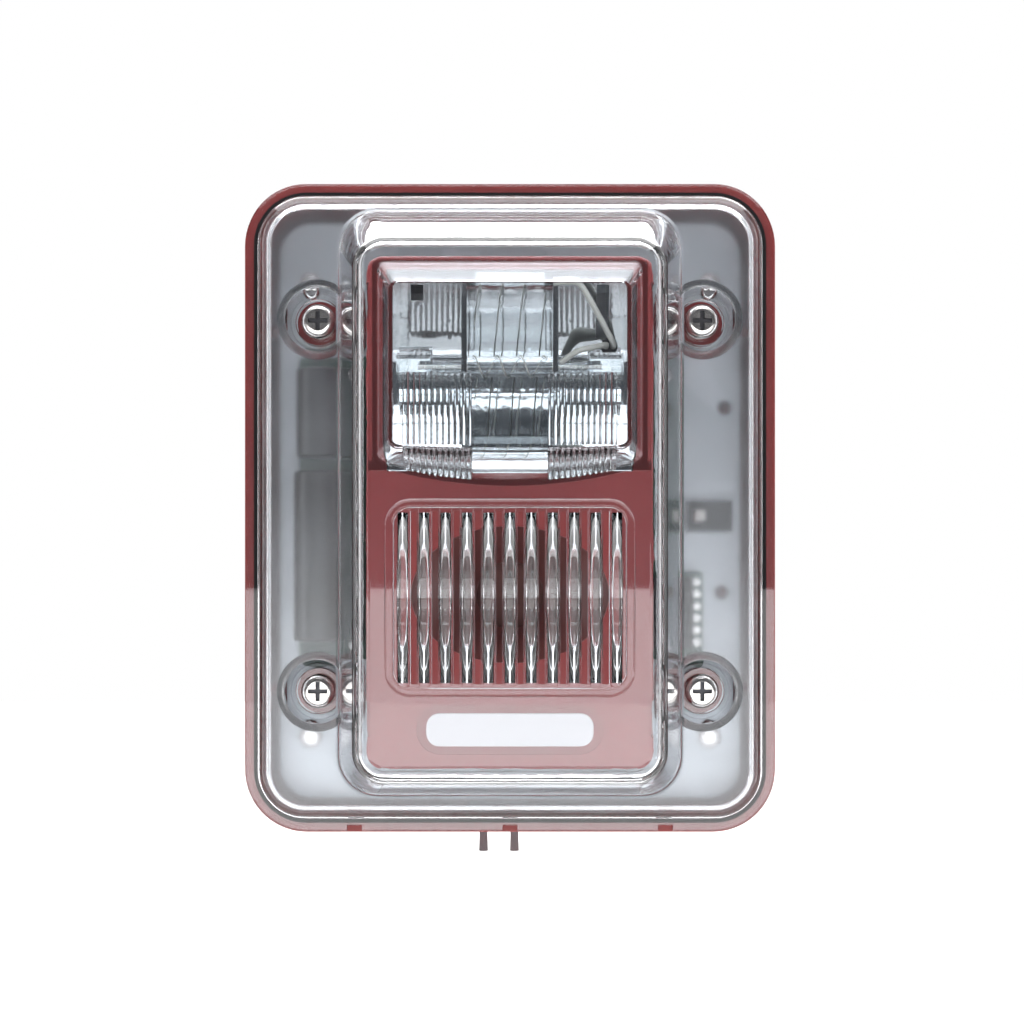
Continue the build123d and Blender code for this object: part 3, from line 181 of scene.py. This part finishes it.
def use_group(tree, group, place, values=None):
    node = tree.nodes.new("ShaderNodeGroup")
    node.node_tree = group
    join(tree, place, "Object", node, "Vector")
    for key, value in (values or {}).items():
        node.inputs[key].default_value = value
    return node


def blend_colours(tree, shader, source, out, low, high):
    """Base colour runs from low to high with a mask."""
    mix = add_node(tree, "Mix", data_type="RGBA")
    mix.inputs[6].default_value = (*low, 1.0)
    mix.inputs[7].default_value = (*high, 1.0)
    join(tree, source, out, mix, 0)
    tree.links.new(mix.outputs[2], shader.inputs["Base Color"])
    return mix


def spread_roughness(tree, shader, source, out, low, high):
    spread = add_node(tree, "MapRange", {1: 0.0, 2: 1.0, 3: low, 4: high})
    join(tree, source, out, spread, 0)
    join(tree, spread, 0, shader, "Roughness")


def raise_bump(tree, shader, source, out, strength, distance):
    bump = add_node(tree, "Bump", {"Strength": strength, "Distance": distance})
    join(tree, source, out, bump, "Height")
    join(tree, bump, 0, shader, "Normal")
    return bump


def moulded(name, colour, roughness, drift=0.12, grain=1800.0, bump=0.1, **extra):
    """Moulded plastic or rubber: slow colour drift, rubbed patches and a fine skin."""
    material, tree, shader, place = start_finish(name, colour, roughness, **extra)
    skin = use_group(tree, MOULD_GRAIN, place, {"Grain Size": grain})
    low = tuple(c * (1 - drift) for c in colour)
    high = tuple(min(1.0, c * (1 + drift)) for c in colour)
    blend_colours(tree, shader, skin, "Drift", low, high)
    spread_roughness(tree, shader, skin, "Rub", roughness, min(1.0, roughness + 0.15))
    raise_bump(tree, shader, skin, "Height", bump, 0.0002)
    return material


def worked_metal(name, colour, roughness, stretch, spangle=90.0, contrast=0.1, bump=0.08):
    """Plated or turned metal with fine lines and faint spangle."""
    material, tree, shader, place = start_finish(name, colour, roughness, metallic=1.0)
    lines = use_group(tree, BRUSH_LINES, place, {"Stretch": stretch, "Spangle Size": spangle})
    low = tuple(c * (1 - contrast) for c in colour)
    high = tuple(min(1.0, c * (1 + contrast)) for c in colour)
    blend_colours(tree, shader, lines, "Spangle", low, high)
    spread_roughness(tree, shader, lines, "Height", roughness * 0.7, min(1.0, roughness * 1.4))
    raise_bump(tree, shader, lines, "Height", bump, 0.00005)
    return material


def let_light_through(material, tint=(1.0, 1.0, 1.0)):
    """Shadow rays pass a clear wall, so that what stands behind it is lit."""
    tree = material.node_tree
    output = next(n for n in tree.nodes if n.bl_idname == "ShaderNodeOutputMaterial")
    shader = next(n for n in tree.nodes if n.bl_idname == "ShaderNodeBsdfPrincipled")
    path = add_node(tree, "LightPath")
    clear = add_node(tree, "BsdfTransparent", {"Color": (*tint, 1.0)})
    mix = add_node(tree, "MixShader")
    join(tree, path, "Is Shadow Ray", mix, 0)
    tree.links.new(shader.outputs[0], mix.inputs[1])
    tree.links.new(clear.outputs[0], mix.inputs[2])
    join(tree, mix, 0, output, "Surface")


def clear_plastic(name, colour, roughness, ior=1.58):
    material, tree, shader, place = start_finish(name, colour, roughness, transmission=1.0, ior=ior)
    veil = use_group(tree, DUST_VEIL, place, {"Amount": 0.12})
    add = add_node(tree, "Math", {1: roughness}, operation="ADD")
    join(tree, veil, "Mask", add, 0)
    join(tree, add, 0, shader, "Roughness")
    let_light_through(material)
    return material


def cover_plastic():
    """Clear cover: etched on the flat flange, clear on the dome and the rim."""
    material, tree, shader, place = start_finish(
        "CoverPolycarbonate", (0.93, 0.95, 0.98), 0.02, transmission=1.0, ior=1.58
    )
    parts = add_node(tree, "SeparateXYZ")
    join(tree, place, "Object", parts, 0)
    # Only the flat front of the flange is etched, so the mask asks for its depth.
    depth = add_node(tree, "Math", {1: FLANGE_FRONT, 2: FLANGE_TOLERANCE}, operation="COMPARE")
    join(tree, parts, "Y", depth, 0)
    veil = use_group(tree, DUST_VEIL, place, {"Amount": 0.03})
    rough = add_node(tree, "MapRange", {1: 0.0, 2: 1.0, 3: 0.015, 4: 0.24})
    join(tree, depth, 0, rough, 0)
    total = add_node(tree, "Math", operation="ADD")
    join(tree, rough, 0, total, 0)
    join(tree, veil, "Mask", total, 1)
    join(tree, total, 0, shader, "Roughness")
    frost = add_node(tree, "TexNoise", {"Scale": 2600.0, "Detail": 2.0})
    join(tree, place, "Object", frost, "Vector")
    tooth = add_node(tree, "Math", operation="MULTIPLY")
    join(tree, frost, "Fac", tooth, 0)
    join(tree, depth, 0, tooth, 1)
    bump = raise_bump(tree, shader, tooth, 0, 0.12, 0.0001)
    let_light_through(material, (0.96, 0.97, 0.98))
    # The etched skin also scatters light back, as a pale haze over the clear wall.
    haze = add_node(
        tree, "BsdfPrincipled", {"Base Color": (0.74, 0.79, 0.88, 1.0), "Roughness": 0.55, "IOR": 1.5}
    )
    join(tree, bump, 0, haze, "Normal")
    cloud = add_node(tree, "TexNoise", {"Scale": 70.0, "Detail": 4.0, "Roughness": 0.6})
    join(tree, place, "Object", cloud, "Vector")
    share = add_node(tree, "MapRange", {1: 0.3, 2: 0.7, 3: 0.03, 4: 0.09})
    join(tree, cloud, "Fac", share, 0)
    amount = add_node(tree, "Math", operation="MULTIPLY")
    join(tree, share, 0, amount, 0)
    join(tree, depth, 0, amount, 1)
    veiled = add_node(tree, "MixShader")
    output = next(n for n in tree.nodes if n.bl_idname == "ShaderNodeOutputMaterial")
    through = next(n for n in tree.nodes if n.bl_idname == "ShaderNodeMixShader" and n is not veiled)
    join(tree, amount, 0, veiled, 0)
    tree.links.new(through.outputs[0], veiled.inputs[1])
    tree.links.new(haze.outputs[0], veiled.inputs[2])
    join(tree, veiled, 0, output, "Surface")
    return material


FINISHES = {
    "red_box": moulded("RedBoxPlastic", (0.20, 0.020, 0.018), 0.36),
    "red_face": moulded("RedFacePlastic", (0.23, 0.034, 0.034), 0.30, grain=1400.0),
    "dark_seal": moulded("DarkSealRubber", (0.03, 0.028, 0.028), 0.6, bump=0.2),
    "grey_rubber": moulded("GreyRubber", (0.13, 0.105, 0.11), 0.55, bump=0.25),
    # Painted shade: the horn diaphragm is made dark for the shade deep inside the horn.
    "painted_shade_disc": worked_metal("HornDiaphragmPaintedShade", (0.12, 0.06, 0.055), 0.50, (60.0, 900.0, 60.0)),
    # Painted shade: this dark finish stands in for the shade inside the screws' cross recesses.
    "screw_recess_painted_shade": worked_metal("ScrewRecessPaintedShade", (0.10, 0.10, 0.11), 0.4, (900.0, 60.0, 900.0), spangle=300.0),
    "brass": worked_metal("TurnedBrass", (0.70, 0.50, 0.22), 0.28, (60.0, 2400.0, 60.0)),
    "zinc_plate": worked_metal("ZincSheet", (0.52, 0.55, 0.57), 0.40, (18.0, 60.0, 1800.0), spangle=70.0),
    "steel_screw": worked_metal("NickelScrew", (0.78, 0.76, 0.74), 0.16, (900.0, 60.0, 900.0), spangle=300.0),
    "green_board": moulded("GreenBoard", (0.010, 0.060, 0.035), 0.35, drift=0.3, grain=900.0),
    "black_sleeve": moulded("BlackSleeve", (0.012, 0.012, 0.013), 0.3),
    "ferrite": moulded("Ferrite", (0.05, 0.048, 0.046), 0.7, bump=0.3),
    "copper": worked_metal("EnamelledCopper", (0.72, 0.32, 0.14), 0.3, (2600.0, 60.0, 60.0)),
    "black_plastic": moulded("BlackMoulding", (0.016, 0.016, 0.017), 0.4),
    "tinned_pin": worked_metal("TinnedPin", (0.80, 0.79, 0.76), 0.25, (600.0, 600.0, 60.0)),
    "white_label": moulded("WhiteLabel", (0.62, 0.61, 0.62), 0.35, drift=0.02),
    "black_horn": moulded("DarkHorn", (0.13, 0.045, 0.042), 0.38),
    "mirror_plating": worked_metal(
        "MirrorPlating", (0.50, 0.52, 0.53), 0.04, (500.0, 500.0, 40.0), contrast=0.02, bump=0.02
    ),
    "clear_lens": clear_plastic("LensPolycarbonate", (0.97, 0.98, 0.98), 0.0),
    "tube_glass": clear_plastic("TubeGlass", (0.97, 0.99, 1.0), 0.0, ior=1.47),
    "white_silicone": moulded("WhiteSilicone", (0.72, 0.72, 0.70), 0.5),
    "nickel_wire": worked_metal("NickelWire", (0.55, 0.54, 0.50), 0.3, (60.0, 600.0, 600.0)),
    "white_sleeve": moulded("WhiteSleeve", (0.55, 0.55, 0.51), 0.45),
    "black_rubber": moulded("BlackRubber", (0.02, 0.02, 0.02), 0.55),
    "green_block": moulded("GreenBlock", (0.03, 0.22, 0.08), 0.4),
    "white_lever": moulded("WhiteLever", (0.75, 0.74, 0.70), 0.4),
    "red_dip": moulded("RedSwitch", (0.45, 0.03, 0.02), 0.4),
    "clear_cover": cover_plastic(),
}

slot_of = {part["node"]: part["material_slot"] for part in frame["record"]["subparts"]}
for name, piece in nodes_in_frame.items():
    piece.data.materials.clear()
    piece.data.materials.append(FINISHES[slot_of[name]])

# The diaphragm deep in the horn is given a dark colour as painted shade, standing in for the shade inside the
# horn.
nodes_in_frame["piezo_disc"].data.materials[0] = FINISHES["painted_shade_disc"]

# The cross recess of each cover screw gets a dark metal as painted shade, darker than its polished head.
HEAD_RADIUS = 0.0046
RECESS_RADIUS = 0.0029
RECESS_START = 0.0006
RECESS_END = 0.0030
screws = nodes_in_frame["cover_screws"]
screws.data.materials.append(FINISHES["screw_recess_painted_shade"])
screw_centres = [
    (x, z)
    for x in (SCREW_LOW.x + HEAD_RADIUS, SCREW_HIGH.x - HEAD_RADIUS)
    for z in (SCREW_LOW.z + HEAD_RADIUS, SCREW_HIGH.z - HEAD_RADIUS)
]
for face in screws.data.polygons:
    reach = min(math.hypot(face.center.x - x, face.center.z - z) for x, z in screw_centres)
    below = face.center.y - SCREW_LOW.y
    inside = reach < RECESS_RADIUS and RECESS_START < below < RECESS_END
    face.material_index = 1 if inside else 0


# ---------------------------------------------------------------- moulded ribs under the flutes of the lens

FLUTE_PITCH = 0.00146
FLUTE_INNER = 0.0098
FLUTES_PER_SIDE = 12
FOOT_INSET = 0.0013
FOOT_RISE = 0.0015
HEAD_INSET = 0.0012
HEAD_RISE = 0.0087
WALL_FOOT = Vector((0.0, LENS_HIGH.y - FOOT_INSET, LENS_LOW.z + FOOT_RISE))
WALL_HEAD = Vector((0.0, LENS_LOW.y + HEAD_INSET, LENS_LOW.z + HEAD_RISE))
FOOT_SAG = 0.0052
HEAD_SAG = 0.0009
LENS_HALF_WIDTH = 0.0350


def lay_rod(mesh, start, end, radius, sides=14):
    """Round rod between two points."""
    run = end - start
    turn = Vector((0.0, 0.0, 1.0)).rotation_difference(run).to_matrix().to_4x4()
    turn.translation = (start + end) / 2
    bmesh.ops.create_cone(
        mesh, cap_ends=True, segments=sides, radius1=radius, radius2=radius, depth=run.length, matrix=turn
    )


def build_lens_ribs():
    mesh = bmesh.new()
    for side in (-1, 1):
        for flute in range(FLUTES_PER_SIDE):
            x = FLUTE_INNER + (flute + 0.5) * FLUTE_PITCH
            bow = (x / LENS_HALF_WIDTH) ** 2
            foot = WALL_FOOT + Vector((side * x, 0.0, FOOT_SAG * bow))
            head = WALL_HEAD + Vector((side * x, 0.0, HEAD_SAG * bow))
            lay_rod(mesh, foot, head, 0.55 * FLUTE_PITCH)
    for face in mesh.faces:
        face.smooth = len(face.verts) == 4
    data = bpy.data.meshes.new("LensSlopeRibs")
    mesh.to_mesh(data)
    mesh.free()
    data.materials.append(FINISHES["clear_lens"])
    ribs = bpy.data.objects.new("LensSlopeRibs", data)
    scene.collection.objects.link(ribs)
    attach(ribs, "unit")


build_lens_ribs()


# ---------------------------------------------------------------- rounded crowns on the cover's grille bars

GRILLE_PITCH = 0.00543
GRILLE_BARS = 11
GRILLE_CENTRE_Z = -0.0244
GRILLE_HALF_HEIGHT = 0.0216
CROWN_HALF_WIDTH = 0.00135
CROWN_HALF_DEPTH = 0.0005
BAR_FRONT = -0.0754


def build_grille_crowns():
    mesh = bmesh.new()
    for bar in range(GRILLE_BARS):
        x = (bar - (GRILLE_BARS - 1) / 2) * GRILLE_PITCH
        made = bmesh.ops.create_cone(
            mesh,
            cap_ends=True,
            segments=32,
            radius1=1.0,
            radius2=1.0,
            depth=2 * GRILLE_HALF_HEIGHT,
        )
        bmesh.ops.scale(mesh, verts=made["verts"], vec=(CROWN_HALF_WIDTH, CROWN_HALF_DEPTH, 1.0))
        bmesh.ops.translate(mesh, verts=made["verts"], vec=(x, BAR_FRONT, GRILLE_CENTRE_Z))
    for face in mesh.faces:
        face.smooth = len(face.verts) == 4
    data = bpy.data.meshes.new("GrilleCrowns")
    mesh.to_mesh(data)
    mesh.free()
    data.materials.append(FINISHES["clear_lens"])
    crowns = bpy.data.objects.new("GrilleCrowns", data)
    scene.collection.objects.link(crowns)
    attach(crowns, "cover")


build_grille_crowns()


# ---------------------------------------------------------------- studio

def softbox(name, centre, aim, width, height, watts, colour=(1.0, 1.0, 1.0)):
    data = bpy.data.lights.new(name, "AREA")
    data.shape = "RECTANGLE"
    data.size = width
    data.size_y = height
    data.energy = watts
    data.color = colour
    lamp = bpy.data.objects.new(name, data)
    lamp.location = centre
    lamp.rotation_euler = (Vector(aim) - Vector(centre)).to_track_quat("-Z", "Y").to_euler()
    scene.collection.objects.link(lamp)
    lamp.visible_camera = False
    return lamp


FLOOR_HALF_SIZE = 6.0
FLOOR_HEIGHT = -0.32


def build_floor():
    mesh = bmesh.new()
    bmesh.ops.create_grid(mesh, x_segments=2, y_segments=2, size=FLOOR_HALF_SIZE)
    bmesh.ops.translate(mesh, verts=mesh.verts, vec=(0.0, 0.0, FLOOR_HEIGHT))
    data = bpy.data.meshes.new("PaleFloor")
    mesh.to_mesh(data)
    mesh.free()
    floor = bpy.data.objects.new("PaleFloor", data)
    scene.collection.objects.link(floor)
    material, tree, shader, _ = start_finish("PaleFloorPaint", (0.9, 0.9, 0.9), 0.8)
    shader.inputs["Emission Color"].default_value = (1.0, 1.0, 1.0, 1.0)
    # The floor is seen as white paper, but throws only a little light up at the object.
    path = add_node(tree, "LightPath")
    glow = add_node(tree, "MapRange", {1: 0.0, 2: 1.0, 3: 0.08, 4: 1.0})
    join(tree, path, "Is Camera Ray", glow, 0)
    join(tree, glow, 0, shader, "Emission Strength")
    data.materials.append(material)


def build_studio():
    world = bpy.data.worlds.new("Studio")
    world.use_nodes = True
    scene.world = world
    tree = world.node_tree
    tree.nodes.clear()
    output = add_node(tree, "OutputWorld")
    seen = add_node(tree, "Background", {"Color": (1.0, 1.0, 1.0, 1.0), "Strength": 1.0})
    around = add_node(tree, "Background", {"Strength": 1.3})
    place = add_node(tree, "TexCoord")
    parts = add_node(tree, "SeparateXYZ")
    join(tree, place, "Generated", parts, 0)
    ramp = add_node(tree, "ValToRGB")
    ramp.color_ramp.elements[0].position = 0.0
    ramp.color_ramp.elements[0].color = (0.08, 0.08, 0.085, 1.0)
    ramp.color_ramp.elements[1].position = 1.0
    ramp.color_ramp.elements[1].color = (1.0, 1.0, 1.0, 1.0)
    # The room is pale behind and above the object and dim behind the camera.
    rear = add_node(tree, "Math", {1: 0.8}, operation="MULTIPLY")
    join(tree, parts, "Y", rear, 0)
    above = add_node(tree, "Math", {1: 0.45}, operation="MULTIPLY")
    join(tree, parts, "Z", above, 0)
    both = add_node(tree, "Math", operation="ADD")
    join(tree, rear, 0, both, 0)
    join(tree, above, 0, both, 1)
    lift = add_node(tree, "MapRange", {1: -0.1, 2: 0.75, 3: 0.0, 4: 1.0})
    join(tree, both, 0, lift, 0)
    join(tree, lift, 0, ramp, 0)
    join(tree, ramp, 0, around, 0)
    path = add_node(tree, "LightPath")
    mix = add_node(tree, "MixShader")
    join(tree, path, "Is Camera Ray", mix, 0)
    tree.links.new(around.outputs[0], mix.inputs[1])
    tree.links.new(seen.outputs[0], mix.inputs[2])
    join(tree, mix, 0, output, "Surface")
    softbox("TopSoftbox", (0.0, -0.05, 0.80), (0.0, -0.05, 0.0), 1.3, 1.3, 22.0)
    rear_top = softbox("BackTopSoftbox", (0.0, 0.85, 0.90), (0.0, -0.04, 0.05), 1.6, 0.9, 44.0)
    # The panels behind the object are there for reflections in its clear walls alone.
    rear_top.visible_diffuse = False
    softbox("LowFrontSoftbox", (0.0, -1.25, -0.36), (0.0, -0.25, -0.36), 1.4, 0.7, 8.0)
    for side, name in ((-1, "Left"), (1, "Right")):
        softbox(name + "Strip", (side * 0.75, -0.25, 0.05), (0.0, -0.05, 0.0), 0.18, 1.0, 2.0)
        rear = softbox(name + "BackSoftbox", (side * 0.62, 0.80, 0.05), (0.0, -0.05, 0.0), 0.5, 1.1, 8.0)
        rear.visible_diffuse = False


def build_camera():
    data = bpy.data.cameras.new("ProductCamera")
    data.sensor_width = 36.0
    data.lens = 73.07
    data.shift_y = 0.0957
    data.clip_start = 0.01
    data.clip_end = 20.0
    camera = bpy.data.objects.new("ProductCamera", data)
    camera.location = (0.00054, -0.602, -0.0275)
    camera.rotation_euler = (math.pi / 2, 0.0, 0.0)
    scene.collection.objects.link(camera)
    scene.camera = camera


build_floor()
build_studio()
build_camera()
scene.view_settings.view_transform = "Standard"
scene.cycles.max_bounces = 24
scene.cycles.transmission_bounces = 20
scene.cycles.transparent_max_bounces = 24
scene.cycles.glossy_bounces = 8
